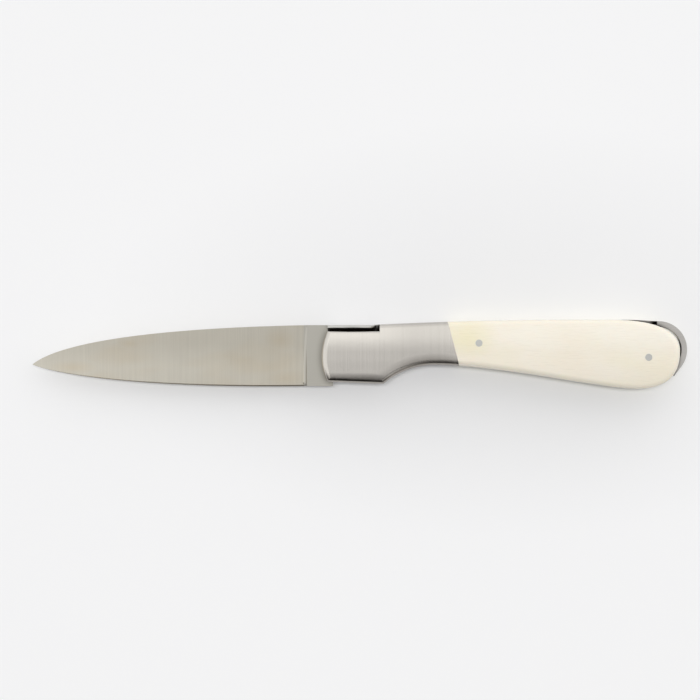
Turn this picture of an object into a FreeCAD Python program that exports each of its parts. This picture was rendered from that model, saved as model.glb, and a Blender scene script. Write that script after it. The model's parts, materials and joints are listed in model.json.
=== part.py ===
import FreeCAD, Part
import math
import os

from FreeCAD import Vector

# A folding pocket knife with one blade, drawn open. All sizes are in millimetres.
# The drawing frame has the blade pivot at 0, 0: X runs to the butt, Y to the back of the knife and
# Z to its left side. The finished knife is moved so that it lies on its right side, with the origin
# at the bottom centre of its box.

# Blade, measured from the pivot
TIP_REACH = 104.7
PLUNGE_REACH = 13.2
SHOULDER_REACH = 6.3
SPINE_HEIGHT = 13.1
EDGE_DEPTH = 7.17
BLADE_THICKNESS = 2.9
EDGE_THICKNESS = 0.3
EDGE_BEVEL_SHARE = 0.02
POINT_BLUNTNESS = 0.004
SPINE_RUN = 56.0
SPINE_FALL = 1.1
EDGE_BELLY = 0.8
POINT_RUN = 8.0
POINT_SPINE_RISE = 6.6
POINT_EDGE_DROP = 3.3
FOLD_ANGLE = 177.2

# Tang, inside the bolsters
TANG_RADIUS = 5.8
KICK_SETBACK = 1.3
TOOTH_HEIGHT = 1.1
TOOTH_BASE = 1.9
TOOTH_TOP = 1.3

# Pins, rivets and washers
PIVOT_PIN_DIAMETER = 4.0
SCALE_PIN_DIAMETER = 2.3
MIDDLE_PIN_SETBACK = 10.42
MIDDLE_PIN_Y = 7.1
REAR_PIN_INSET = 10.58
REAR_PIN_DROP = 2.6
RIVET_DIAMETER = 2.0
RIVET_COVER = 1.0
FRONT_RIVET_X = 7.0
FRONT_RIVET_Y = 6.0
BACK_RIVET_INSET = 8.6
BACK_RIVET_Y = 6.5
WASHER_DIAMETER = 9.0
WASHER_THICKNESS = 0.1

# Clearances
PIN_FIT = 0.01
PIVOT_PLAY = 0.03
SIDE_PLAY = 0.025
SPRING_PLAY = 0.05
STOP_GAP = 0.05
TANG_GAP = 0.1
KICK_GAP = 0.6

# Oval plate on the spring's head
PLATE_LENGTH = 15.9
PLATE_WIDTH = 10.4
PLATE_FRONT_WIDTH = 6.4
PLATE_CROWN_REACH = 8.6
PLATE_CROWN_RUN = 3.8
PLATE_FRONT_RUN = 2.4
PLATE_FRONT_SPREAD = 1.3
PLATE_REAR_SPREAD = 2.3
PLATE_THICKNESS = 1.0
PLATE_ROUNDING = 0.3
PLATE_GAP = 1.1
NECK_LAP = 1.25
LAND_STEP_GAP = 1.35

# Handle outline, measured from the pivot
BOLSTER_FRONT = 8.3
FRONT_BULGE = 1.9
SOLE_DEPTH = 5.7
HEEL_X = 12.3
HEEL_DEPTH = 6.4
WAIST_X = 29.3
WAIST_DEPTH = 0.1
WAIST_RUN = 21.5
BACK_STEP = 0.2
BACK_RISE = 1.57
BACK_CROWN = 0.51
BACK_REAR_INSET = 22.95
BUTT_X = 110.2
BUTT_DROP = 10.5
BUTT_TOP_RUN = 15.0
BUTT_TOP_RISE = 7.0
BUTT_LOW_FALL = 8.3
BUTT_LOW_RUN = 9.0
BELLY_INSET = 13.8
BELLY_DEPTH = 8.0
BELLY_RUN = 12.6
JOINT_TOP_X = 33.3
JOINT_LEAN = 0.26

# Handle thickness and rounding
LINER_THICKNESS = 1.0
FRONT_HALF_WIDTH = 6.2
BUTT_HALF_WIDTH = 7.5
FLAT_MIDDLE_Y = 3.0
FLAT_WIDTH = 3.0
CROWN_RADIUS = 38.0
CROWN_TURN = 35.0
HANDLE_ROUNDING = 1.9
LAND_ROUNDING = 0.9

# Back spring
BAR_DEPTH = 4.8
HEAD_BLEND = 9.5
EYE_WALL = 0.9
EYE_WEB = 4.5
TAIL_TAPER_LENGTH = 9.0
TAIL_CROWN = 0.17
CRESCENT_RADIUS = 9.4
CRESCENT_THICKNESS = 1.8
CRESCENT_DROP = 0.47
CRESCENT_START = 86.4
CRESCENT_END = -60.0
CRESCENT_BEND = -37.0
CRESCENT_TAIL = 4.0
BUTT_GAP = 1.24
SLIT_WIDTH = 1.3
SLIT_END = -24.0
BLOCK_LENGTH = 16.1
BLOCK_RISE = 4.6
BLOCK_WALL = 0.85

# Pierced pattern along the top of the bar
PIERCE_SETBACK = 3.6
PIERCE_INSET = 6.6
BAR_FLOOR = 2.3
TAIL_FLOOR = 0.7
DIAGONAL_CELLS = 6
DIAGONAL_BAR = 0.36
DIAGONAL_SLIT = 0.22
FLOURISH_LENGTH = 7.65
CELL_WALL = 0.3
ROUND_NOTCH = 1.5
SIDE_NOTCH_WIDTH = 1.3
SIDE_NOTCH_DEPTH = 1.3
SMALL_NOTCH_WIDTH = 1.0
SMALL_NOTCH_DEPTH = 0.55
SMALL_NOTCH_PITCH = 1.5

# Widths worked out from the blade outwards
SLOT = BLADE_THICKNESS + 2 * (WASHER_THICKNESS + 2 * SIDE_PLAY)
LINER_IN = SLOT / 2
LINER_OUT = LINER_IN + LINER_THICKNESS
SPRING_HALF = LINER_IN - SPRING_PLAY

# Heights worked out from the blade's spine
PLATE_BASE = SPINE_HEIGHT - PLATE_THICKNESS
LAND_HEIGHT = PLATE_BASE - PLATE_GAP
BACK_FRONT_HEIGHT = SPINE_HEIGHT + BACK_STEP
BACK_REAR_HEIGHT = BACK_FRONT_HEIGHT + BACK_RISE
BUTT_Y = BACK_REAR_HEIGHT - BUTT_DROP
CRESCENT_Y = BACK_REAR_HEIGHT - CRESCENT_DROP - CRESCENT_RADIUS
REAR_PIN_Y = CRESCENT_Y - REAR_PIN_DROP
HEAD_BOTTOM = TANG_RADIUS + TANG_GAP
TOOTH_RADIUS = TANG_RADIUS + TOOTH_HEIGHT

# Places along the knife worked out from the pivot and the butt
KICK_REACH = TANG_RADIUS - KICK_SETBACK
HEAD_FRONT = -SHOULDER_REACH + STOP_GAP
PLATE_END = HEAD_FRONT + PLATE_LENGTH
NECK_X = PLATE_END - NECK_LAP
LAND_END = PLATE_END + LAND_STEP_GAP
BACK_RIVET_X = JOINT_TOP_X - BACK_RIVET_INSET
MIDDLE_PIN_X = JOINT_TOP_X + MIDDLE_PIN_SETBACK
REAR_PIN_X = BUTT_X - REAR_PIN_INSET
BELLY_X = BUTT_X - BELLY_INSET
BACK_REAR_X = BUTT_X - BACK_REAR_INSET
PIERCE_START = LAND_END + PIERCE_SETBACK
PIERCE_LENGTH = BUTT_X - PIERCE_INSET - PIERCE_START
DIAGONAL_LENGTH = (PIERCE_LENGTH - (DIAGONAL_CELLS - 1) * FLOURISH_LENGTH) / DIAGONAL_CELLS

# Radii worked out from the sizes above
CRESCENT_INNER = CRESCENT_RADIUS - CRESCENT_THICKNESS
CRESCENT_X = BUTT_X + BUTT_GAP - CRESCENT_INNER
PIVOT_RADIUS = PIVOT_PIN_DIAMETER / 2
PIN_RADIUS = SCALE_PIN_DIAMETER / 2
RIVET_RADIUS = RIVET_DIAMETER / 2
EYE_RADIUS = PIN_RADIUS + EYE_WALL
BLOCK_DROP = PIN_RADIUS + BLOCK_WALL

# A length that reaches past every side of the knife
BEYOND = 2 * (BUTT_HALF_WIDTH + BACK_REAR_HEIGHT)


def point(x, y):
    return Vector(x, y, 0)


def polar(centre, radius, degrees):
    angle = math.radians(degrees)
    return centre + point(radius * math.cos(angle), radius * math.sin(angle))


def lines(points):
    return [Part.makeLine(a, b) for a, b in zip(points, points[1:])]


def arc(start, middle, end):
    return Part.Arc(start, middle, end).toShape()


def bezier(poles):
    curve = Part.BezierCurve()
    curve.setPoles(poles)
    return curve.toShape()


def plate(edges, low, high):
    """A flat piece between two heights, from the edges of its outline in order."""
    face = Part.Face(Part.Wire(edges))
    face.translate(Vector(0, 0, low))
    return face.extrude(Vector(0, 0, high - low))


def polygon_plate(points, low, high):
    return plate(lines(points + points[:1]), low, high)


def rod(x, y, radius, low, high):
    return Part.makeCylinder(radius, high - low, Vector(x, y, low))


def through(x, y, radius):
    """A cutter for a hole right through the knife."""
    return rod(x, y, radius, -BEYOND, BEYOND)


def mirrored(shape):
    """The same piece on the knife's right side."""
    return shape.mirror(Vector(0, 0, 0), Vector(0, 0, 1))


def half_width(x):
    """Half the handle's thickness, which grows evenly from the bolster to the butt."""
    share = (x + BOLSTER_FRONT) / (BUTT_X + BOLSTER_FRONT)
    return FRONT_HALF_WIDTH + share * (BUTT_HALF_WIDTH - FRONT_HALF_WIDTH)


def back_arc(drop):
    """The long crowned line of the back, lowered by drop."""
    start = point(LAND_END, BACK_FRONT_HEIGHT - drop)
    end = point(BACK_REAR_X, BACK_REAR_HEIGHT - drop)
    return arc(start, (start + end) / 2 + point(0, BACK_CROWN), end)


def back_height(x):
    """Height of the back at x, level behind the crowned line's end."""
    share = min((x - LAND_END) / (BACK_REAR_X - LAND_END), 1)
    chord = BACK_FRONT_HEIGHT + share * (BACK_REAR_HEIGHT - BACK_FRONT_HEIGHT)
    return chord + 4 * BACK_CROWN * share * (1 - share)


def handle_edges():
    """The handle's side outline, before the land for the oval plate is cut into it."""
    sole_front = point(FRONT_BULGE - BOLSTER_FRONT, -SOLE_DEPTH)
    nose = point(-BOLSTER_FRONT, (LAND_HEIGHT - SOLE_DEPTH) / 2)
    half_chord = (LAND_HEIGHT + SOLE_DEPTH) / 2
    front_radius = (half_chord ** 2 + FRONT_BULGE ** 2) / (2 * FRONT_BULGE)
    crown_rise = BACK_FRONT_HEIGHT - nose.y
    crown_setback = front_radius - math.sqrt(front_radius ** 2 - crown_rise ** 2)
    crown_front = point(nose.x + crown_setback, BACK_FRONT_HEIGHT)

    back_front = point(LAND_END, BACK_FRONT_HEIGHT)
    back_rear = point(BACK_REAR_X, BACK_REAR_HEIGHT)
    butt = point(BUTT_X, BUTT_Y)
    belly = point(BELLY_X, -BELLY_DEPTH)
    waist = point(WAIST_X, -WAIST_DEPTH)

    heel = point(HEEL_X, -HEEL_DEPTH)
    hollow_run = WAIST_X - HEEL_X
    hollow_rise = HEEL_DEPTH - WAIST_DEPTH
    hollow_radius = (hollow_run ** 2 + hollow_rise ** 2) / (2 * hollow_rise)
    hollow_turn = math.degrees(math.asin(hollow_run / hollow_radius))
    hollow = polar(waist - point(0, hollow_radius), hollow_radius, 90 + hollow_turn / 2)

    return [
        arc(sole_front, nose, crown_front),
        Part.makeLine(crown_front, back_front),
        back_arc(0),
        bezier([back_rear, back_rear + point(BUTT_TOP_RUN, 0), butt + point(0, BUTT_TOP_RISE), butt]),
        bezier([butt, butt - point(0, BUTT_LOW_FALL), belly + point(BUTT_LOW_RUN, 0), belly]),
        bezier([belly, belly - point(BELLY_RUN, 0), waist + point(WAIST_RUN, 0), waist]),
        arc(waist, hollow, heel),
        Part.makeLine(heel, sole_front),
    ]


def land_cutter():
    """The room above the land that the oval plate stands over."""
    corner = Vector(-BEYOND, LAND_HEIGHT, -BEYOND)
    return Part.makeBox(BEYOND + LAND_END, BEYOND, 2 * BEYOND, corner)


def pin_cutters():
    return [
        through(0, 0, PIVOT_RADIUS + PIN_FIT),
        through(MIDDLE_PIN_X, MIDDLE_PIN_Y, PIN_RADIUS + PIN_FIT),
        through(REAR_PIN_X, REAR_PIN_Y, PIN_RADIUS + PIN_FIT),
    ]


def rivets(radius):
    """The two blind rivets of the left bolster, or with more radius the holes for them."""
    shapes = []
    for x, y in ((FRONT_RIVET_X, FRONT_RIVET_Y), (BACK_RIVET_X, BACK_RIVET_Y)):
        shapes.append(rod(x, y, radius, LINER_IN, half_width(x) - RIVET_COVER))
    return shapes


def make_liner():
    liner = plate(handle_edges(), LINER_IN, LINER_OUT)
    return liner.cut([land_cutter()] + pin_cutters() + rivets(RIVET_RADIUS + PIN_FIT))


def crown_point(front, side, degrees):
    """A point where the handle's crowned side turns down by an angle, above or below its flat strip."""
    angle = math.radians(degrees)
    y = FLAT_MIDDLE_Y + side * (FLAT_WIDTH / 2 + CROWN_RADIUS * math.sin(angle))
    return Vector(front, y, half_width(front) - CROWN_RADIUS * (1 - math.cos(angle)))


def crown_cutter():
    """Everything outside the left side, which is flat along its middle and crowned to both edges."""
    front = -BEYOND
    rear = BUTT_X + BEYOND
    edges = []
    for side in (1, -1):
        turns = [crown_point(front, side, share * CROWN_TURN) for share in (0, 0.5, 1)]
        outside = Vector(front, side * 2 * BEYOND, turns[-1].z)
        above = Vector(front, side * 2 * BEYOND, 2 * BEYOND)
        edges.append(arc(*turns))
        edges += lines([turns[-1], outside, above, Vector(front, 0, 2 * BEYOND)])
    edges.append(Part.makeLine(crown_point(front, 1, 0), crown_point(front, -1, 0)))
    outline = Part.Face(Part.Wire(Part.sortEdges(edges)[0]))
    return outline.extrude(Vector(rear - front, 0, half_width(rear) - half_width(front)))


def land_edge_cutter():
    """Takes the sharp edge off the outside of the land, along the widening side of the bolster."""
    front = -BOLSTER_FRONT - LAND_ROUNDING
    flat_top = FLAT_MIDDLE_Y + FLAT_WIDTH / 2
    turn = math.degrees(math.asin((LAND_HEIGHT - LAND_ROUNDING - flat_top) / CROWN_RADIUS))
    round_end = crown_point(front, 1, turn)
    top = round_end.z
    round_start = Vector(front, LAND_HEIGHT, top - LAND_ROUNDING)
    reach = LAND_ROUNDING * math.sqrt(0.5)
    round_middle = Vector(front, LAND_HEIGHT - LAND_ROUNDING + reach, top - LAND_ROUNDING + reach)
    above = Vector(front, LAND_HEIGHT + LAND_ROUNDING, top - LAND_ROUNDING)
    corner = Vector(front, LAND_HEIGHT + LAND_ROUNDING, top + LAND_ROUNDING)
    beside = Vector(front, LAND_HEIGHT - LAND_ROUNDING, top + LAND_ROUNDING)
    edges = [arc(round_start, round_middle, round_end)]
    edges += lines([round_end, beside, corner, above, round_start])
    length = Vector(LAND_END - front, 0, half_width(LAND_END) - half_width(front))
    return Part.Face(Part.Wire(edges)).extrude(length)


def rim_edges(slab):
    """The edges round the outside of a slab whose outer faces all look to the left."""
    outer_edges = []
    for face in slab.Faces:
        u_low, u_high, v_low, v_high = face.ParameterRange
        normal = face.normalAt((u_low + u_high) / 2, (v_low + v_high) / 2)
        if normal.z > 0.5:
            outer_edges += face.Edges
    return [edge for edge in outer_edges if sum(edge.isSame(other) for other in outer_edges) == 1]


def make_side():
    """The left side of the handle outside its liner, rounded along its outer edges."""
    slab = plate(handle_edges(), LINER_OUT, BEYOND).cut(crown_cutter())
    rounded = slab.makeFillet(HANDLE_ROUNDING, rim_edges(slab))
    return rounded.cut([land_cutter(), land_edge_cutter()])


def joint_cutter():
    """Everything in front of the slanted joint between bolster and scale."""
    top = point(JOINT_TOP_X - JOINT_LEAN * BEYOND, BACK_REAR_HEIGHT + BEYOND)
    bottom = point(JOINT_TOP_X + JOINT_LEAN * (BACK_REAR_HEIGHT + BEYOND), -BEYOND)
    return polygon_plate([top, bottom, point(-BEYOND, -BEYOND), point(-BEYOND, top.y)], 0, BEYOND)


def make_bolster(side):
    return side.common(joint_cutter()).cut(pin_cutters() + rivets(RIVET_RADIUS + PIN_FIT))


def make_scale(side):
    return side.cut([joint_cutter()] + pin_cutters())


def flush_pin(x, y, radius, side):
    """A pin right through the handle, ground flush with both of its sides."""
    outer = rod(x, y, radius, LINER_OUT, BEYOND).common(side)
    middle = rod(x, y, radius, -LINER_OUT, LINER_OUT)
    return middle.multiFuse([outer, mirrored(outer)]).removeSplitter()


def ground_blade():
    """The flat ground wedge in front of the plunge, thinning evenly to its edge and its point."""
    half = BLADE_THICKNESS / 2
    edge_half = EDGE_THICKNESS / 2
    heel_height = SPINE_HEIGHT + EDGE_DEPTH
    reaches = [-PLUNGE_REACH, -PLUNGE_REACH - SPINE_RUN, -TIP_REACH + POINT_RUN, -TIP_REACH]
    spine = [SPINE_HEIGHT, SPINE_HEIGHT - SPINE_FALL, POINT_SPINE_RISE, 0]
    edge = [-EDGE_DEPTH, -EDGE_DEPTH - EDGE_BELLY, -POINT_EDGE_DROP, 0]

    def rail(rise_share, half_thickness):
        """A line along the blade at a share of its height, as thick as the height there allows."""
        curve = Part.BezierCurve()
        poles = []
        for x, low, high in zip(reaches, edge, spine):
            height = high - low
            poles.append(Vector(x, low + rise_share * height, half_thickness * height / heel_height))
        curve.setPoles(poles)
        curve.segment(0, 1 - POINT_BLUNTNESS)
        return curve.toShape()

    rails = [
        rail(1, half),
        rail(EDGE_BEVEL_SHARE, edge_half),
        rail(0, 0),
        rail(EDGE_BEVEL_SHARE, -edge_half),
        rail(1, -half),
    ]
    faces = []
    for first, second in zip(rails, rails[1:] + rails[:1]):
        faces.append(Part.makeRuledSurface(first, second))
    for end in (0, 1):
        corners = [line.Vertexes[end].Point for line in rails]
        faces.append(Part.Face(Part.makePolygon(corners + corners[:1])))
    shell = Part.makeShell(faces)
    shell.sewShape()
    solid = Part.makeSolid(shell)
    if solid.Volume < 0:
        solid.reverse()
    return solid


def make_blade():
    half = BLADE_THICKNESS / 2
    tooth_foot = point(TOOTH_BASE / 2, math.sqrt(TANG_RADIUS ** 2 - (TOOTH_BASE / 2) ** 2))
    kick_top = point(-KICK_REACH, -math.sqrt(TANG_RADIUS ** 2 - KICK_REACH ** 2))
    outline = lines([
        kick_top,
        point(-KICK_REACH, -EDGE_DEPTH),
        point(-PLUNGE_REACH, -EDGE_DEPTH),
        point(-PLUNGE_REACH, SPINE_HEIGHT),
        point(-SHOULDER_REACH, SPINE_HEIGHT),
        point(-SHOULDER_REACH, TANG_RADIUS),
        point(-TOOTH_BASE / 2, TANG_RADIUS),
        point(-TOOTH_TOP / 2, TOOTH_RADIUS),
        point(TOOTH_TOP / 2, TOOTH_RADIUS),
        tooth_foot,
    ])
    outline.append(arc(tooth_foot, point(TANG_RADIUS, 0), kick_top))
    tang = plate(outline, -half, half)
    return tang.fuse(ground_blade()).cut(through(0, 0, PIVOT_RADIUS + PIVOT_PLAY))


def make_washer():
    low = BLADE_THICKNESS / 2 + SIDE_PLAY
    disc = rod(0, 0, WASHER_DIAMETER / 2, low, low + WASHER_THICKNESS)
    return disc.cut(through(0, 0, PIVOT_RADIUS + PIVOT_PLAY))


def spring_head():
    """The block under the oval plate, with its seat for the folded blade's kick."""
    angle = math.radians(FOLD_ANGLE)
    kick_x = -KICK_REACH * math.cos(angle) + EDGE_DEPTH * math.sin(angle)
    kick_y = -KICK_REACH * math.sin(angle) - EDGE_DEPTH * math.cos(angle)
    seat = kick_y + TANG_GAP
    step = kick_x - KICK_GAP
    head = polygon_plate([
        point(HEAD_FRONT, PLATE_BASE),
        point(NECK_X, PLATE_BASE),
        point(NECK_X, SPINE_HEIGHT),
        point(LAND_END, BACK_FRONT_HEIGHT),
        point(PLUNGE_REACH + HEAD_BLEND, BACK_FRONT_HEIGHT - BAR_DEPTH / 2),
        point(PLUNGE_REACH, seat),
        point(step, seat),
        point(step, HEAD_BOTTOM),
        point(HEAD_FRONT, HEAD_BOTTOM),
    ], -SPRING_HALF, SPRING_HALF)
    mouth = TOOTH_BASE / 2 + TANG_GAP
    roof = TOOTH_TOP / 2 + TANG_GAP
    tooth_seat = polygon_plate([
        point(-mouth, HEAD_BOTTOM - TOOTH_HEIGHT),
        point(mouth, HEAD_BOTTOM - TOOTH_HEIGHT),
        point(mouth, TANG_RADIUS),
        point(roof, TOOTH_RADIUS + TANG_GAP),
        point(-roof, TOOTH_RADIUS + TANG_GAP),
        point(-mouth, TANG_RADIUS),
    ], -BEYOND, BEYOND)
    return head.cut(tooth_seat)


def spring_bar():
    """The long bar along the back, with the eye that the middle pin goes through."""
    top = back_arc(0)
    bottom = back_arc(BAR_DEPTH)
    depth = point(0, BAR_DEPTH)
    bar_front = point(LAND_END, BACK_FRONT_HEIGHT)
    bar_rear = point(BACK_REAR_X, BACK_REAR_HEIGHT)
    rear = Part.makeLine(bar_rear, bar_rear - depth)
    front = Part.makeLine(bar_front - depth, bar_front)
    bar = plate([top, rear, bottom, front], -SPRING_HALF, SPRING_HALF)
    web_top = back_height(MIDDLE_PIN_X) - BAR_DEPTH / 2
    web = polygon_plate([
        point(MIDDLE_PIN_X - EYE_RADIUS, MIDDLE_PIN_Y),
        point(MIDDLE_PIN_X + EYE_RADIUS, MIDDLE_PIN_Y),
        point(MIDDLE_PIN_X + EYE_WEB, web_top),
        point(MIDDLE_PIN_X - EYE_WEB, web_top),
    ], -SPRING_HALF, SPRING_HALF)
    eye = rod(MIDDLE_PIN_X, MIDDLE_PIN_Y, EYE_RADIUS, -SPRING_HALF, SPRING_HALF)
    return [bar, web, eye]


def spring_tail():
    """The bar's thinning end, the crescent with its straight tail round the butt and the rear pin's block."""
    centre = point(CRESCENT_X, CRESCENT_Y)
    outer_middle = polar(centre, CRESCENT_RADIUS, (CRESCENT_START + CRESCENT_BEND) / 2)
    inner_middle = polar(centre, CRESCENT_INNER, (CRESCENT_START + CRESCENT_END) / 2)
    middle_radius = (CRESCENT_RADIUS + CRESCENT_INNER) / 2
    outer_start = polar(centre, CRESCENT_RADIUS, CRESCENT_START)
    inner_start = polar(centre, CRESCENT_INNER, CRESCENT_START)
    outer_end = polar(centre, CRESCENT_RADIUS, CRESCENT_BEND)
    tail_end = polar(outer_end, CRESCENT_TAIL, CRESCENT_BEND - 90)
    inner_end = polar(centre, CRESCENT_INNER, CRESCENT_END)
    bar_end = point(BACK_REAR_X, BACK_REAR_HEIGHT)
    bar_low = point(BACK_REAR_X, BACK_REAR_HEIGHT - BAR_DEPTH)

    taper = [arc(bar_end, (bar_end + outer_start) / 2 + point(0, TAIL_CROWN), outer_start)]
    taper += lines([outer_start, inner_start, bar_low + point(TAIL_TAPER_LENGTH, 0), bar_low, bar_end])

    crescent = [arc(outer_start, outer_middle, outer_end)]
    crescent += lines([outer_end, tail_end, inner_end])
    crescent.append(arc(inner_end, inner_middle, inner_start))
    crescent.append(Part.makeLine(inner_start, outer_start))

    slit_radius = CRESCENT_INNER - SLIT_WIDTH
    block_top = REAR_PIN_Y + BLOCK_RISE
    slit_start = math.degrees(math.asin((block_top - CRESCENT_Y) / slit_radius))
    slit_top = polar(centre, slit_radius, slit_start)
    slit_low = polar(centre, slit_radius, SLIT_END)
    block = [arc(slit_top, polar(centre, slit_radius, (slit_start + SLIT_END) / 2), slit_low)]
    block += lines([
        slit_low,
        polar(centre, middle_radius, SLIT_END),
        polar(centre, middle_radius, CRESCENT_END),
        point(BUTT_X - BLOCK_LENGTH, REAR_PIN_Y - BLOCK_DROP),
        point(BUTT_X - BLOCK_LENGTH, block_top),
        slit_top,
    ])
    return [plate(edges, -SPRING_HALF, SPRING_HALF) for edges in (taper, crescent, block)]


def opening(edges, top, floor):
    """A cutter that pierces the bar from its top down to a floor, from edges drawn in X and Z."""
    face = Part.Face(Part.Wire(edges))
    face.translate(Vector(0, floor, 0))
    return face.extrude(Vector(0, top - floor + BAR_DEPTH, 0))


def notch(x, width, depth, side, lean):
    """A three-cornered opening in one rim of the bar, its point moved along by lean."""
    rim = side * LINER_IN
    tip = Vector(x + lean, 0, side * (SPRING_HALF - depth))
    corners = [Vector(x - width / 2, 0, rim), Vector(x + width / 2, 0, rim), tip]
    return lines(corners + corners[:1])


def diagonal_openings(start, side):
    """Two long three-cornered openings and a slit, which leave a double bar across the spring."""
    middle = start + DIAGONAL_LENGTH / 2
    half = DIAGONAL_LENGTH / 2 - CELL_WALL
    lean = half / SPRING_HALF
    slant = math.sqrt(1 + lean ** 2)
    slit = slant * DIAGONAL_SLIT / 2
    bar = slit + slant * DIAGONAL_BAR

    def across(z, shift):
        """A point of the diagonal at z, moved along the bar by shift."""
        return Vector(middle + side * lean * z + shift, 0, z)

    outlines = []
    for turn in (1, -1):
        rim = side * turn * LINER_IN
        corner = Vector(middle - turn * half, 0, rim)
        rim_end = across(rim, -turn * bar)
        tip_z = -side * turn * (SPRING_HALF - 2 * CELL_WALL)
        tip = across(tip_z, -turn * bar)
        bulge = Vector(corner.x, 0, (rim + tip_z) / 2)
        outlines.append(lines([corner, rim_end, tip]) + [arc(tip, bulge, corner)])
    end = SPRING_HALF - CELL_WALL
    corners = [across(-end, -slit), across(-end, slit), across(end, slit), across(end, -slit)]
    outlines.append(lines(corners + corners[:1]))
    return outlines


def flourish_openings(middle, side):
    """A round notch between two pointed ones in one rim, and three small ones in the other."""
    rim = side * LINER_IN
    left = Vector(middle - ROUND_NOTCH, 0, rim)
    right = Vector(middle + ROUND_NOTCH, 0, rim)
    bottom = Vector(middle, 0, side * (SPRING_HALF - ROUND_NOTCH))
    outlines = [[Part.makeLine(left, right), arc(right, bottom, left)]]
    for turn in (1, -1):
        x = middle + turn * (FLOURISH_LENGTH / 2 - CELL_WALL - SIDE_NOTCH_WIDTH / 2)
        outlines.append(notch(x, SIDE_NOTCH_WIDTH, SIDE_NOTCH_DEPTH, side, -turn * SIDE_NOTCH_WIDTH / 2))
    for step in (-1, 0, 1):
        x = middle + step * SMALL_NOTCH_PITCH
        outlines.append(notch(x, SMALL_NOTCH_WIDTH, SMALL_NOTCH_DEPTH, -side, -step * SMALL_NOTCH_WIDTH / 2))
    return outlines


def piercing():
    """All the openings along the top of the bar, diagonals and flourishes in turn."""
    pitch = DIAGONAL_LENGTH + FLOURISH_LENGTH
    thin_top = CRESCENT_Y + CRESCENT_RADIUS
    thin_floor = thin_top - CRESCENT_THICKNESS + TAIL_FLOOR
    cutters = []
    for cell in range(DIAGONAL_CELLS):
        side = -1 if cell % 2 else 1
        start = PIERCE_START + cell * pitch
        last = cell == DIAGONAL_CELLS - 1
        top = back_height(start + DIAGONAL_LENGTH / 2)
        floor = thin_floor if last else top - BAR_DEPTH + BAR_FLOOR
        cutters += [opening(edges, top, floor) for edges in diagonal_openings(start, side)]
        if not last:
            middle = start + DIAGONAL_LENGTH + FLOURISH_LENGTH / 2
            top = back_height(middle)
            outlines = flourish_openings(middle, -side)
            floor = top - BAR_DEPTH + BAR_FLOOR
            cutters += [opening(edges, top, floor) for edges in outlines]
    return cutters


def make_back_spring():
    pieces = [spring_head()] + spring_bar() + spring_tail()
    spring = pieces[0].multiFuse(pieces[1:]).removeSplitter()
    holes = [
        through(MIDDLE_PIN_X, MIDDLE_PIN_Y, PIN_RADIUS + PIN_FIT),
        through(REAR_PIN_X, REAR_PIN_Y, PIN_RADIUS + PIN_FIT),
    ]
    return spring.cut(piercing() + holes)


def make_head_plate():
    """The plate over the bolsters: straight in front, widest near its middle, drawn in to the neck."""
    front_z = PLATE_FRONT_WIDTH / 2
    crown_x = HEAD_FRONT + PLATE_CROWN_REACH
    crown_z = PLATE_WIDTH / 2
    front_run = [
        (HEAD_FRONT, front_z),
        (HEAD_FRONT + PLATE_FRONT_RUN, front_z + PLATE_FRONT_SPREAD),
        (crown_x - PLATE_CROWN_RUN, crown_z),
        (crown_x, crown_z),
    ]
    rear_run = [
        (crown_x, crown_z),
        (crown_x + PLATE_CROWN_RUN, crown_z),
        (PLATE_END, SPRING_HALF + PLATE_REAR_SPREAD),
        (PLATE_END, SPRING_HALF),
    ]
    edges = []
    for run in (front_run, rear_run):
        for side in (1, -1):
            edges.append(bezier([Vector(x, PLATE_BASE, side * z) for x, z in run]))
    for x, z in (front_run[0], rear_run[-1]):
        edges.append(Part.makeLine(Vector(x, PLATE_BASE, z), Vector(x, PLATE_BASE, -z)))
    outline = Part.Face(Part.Wire(Part.sortEdges(edges)[0]))
    slab = outline.extrude(Vector(0, PLATE_THICKNESS, 0))
    top_face = max(slab.Faces, key=lambda face: face.CenterOfMass.y)
    base_face = min(slab.Faces, key=lambda face: face.CenterOfMass.y)
    base_sides = [edge for edge in base_face.Edges if edge.Curve.TypeId != "Part::GeomLine"]
    slab = slab.makeFillet(PLATE_ROUNDING, top_face.Edges + base_sides)
    neck = Part.makeBox(BEYOND, BEYOND, 2 * SPRING_HALF, Vector(NECK_X, 0, -SPRING_HALF))
    return slab.cut(neck)


def make_parts():
    side = make_side()
    liner = make_liner()
    bolster = make_bolster(side)
    scale = make_scale(side)
    washer = make_washer()
    left_rivets = Part.makeCompound(rivets(RIVET_RADIUS))
    return {
        "blade": make_blade(),
        "pivot_pin": flush_pin(0, 0, PIVOT_RADIUS, side),
        "left_washer": washer,
        "right_washer": mirrored(washer),
        "left_liner": liner,
        "right_liner": mirrored(liner),
        "left_bolster": bolster,
        "right_bolster": mirrored(bolster),
        "left_bolster_rivets": left_rivets,
        "right_bolster_rivets": mirrored(left_rivets),
        "left_scale": scale,
        "right_scale": mirrored(scale),
        "middle_pin": flush_pin(MIDDLE_PIN_X, MIDDLE_PIN_Y, PIN_RADIUS, side),
        "rear_pin": flush_pin(REAR_PIN_X, REAR_PIN_Y, PIN_RADIUS, side),
        "back_spring": make_back_spring(),
        "head_plate": make_head_plate(),
    }


def main():
    parts = make_parts()
    box = FreeCAD.BoundBox()
    for shape in parts.values():
        box.add(shape.optimalBoundingBox(False, False))
    to_origin = Vector(-box.Center.x, -box.Center.y, -box.ZMin)
    os.makedirs("parts", exist_ok=True)
    for name, shape in parts.items():
        shape.translate(to_origin)
        shape.exportStep("parts/" + name + ".step")
    print("pivot at", to_origin)
    print("box", box.XLength, box.YLength, box.ZLength)


main()
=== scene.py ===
import json
import math

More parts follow.
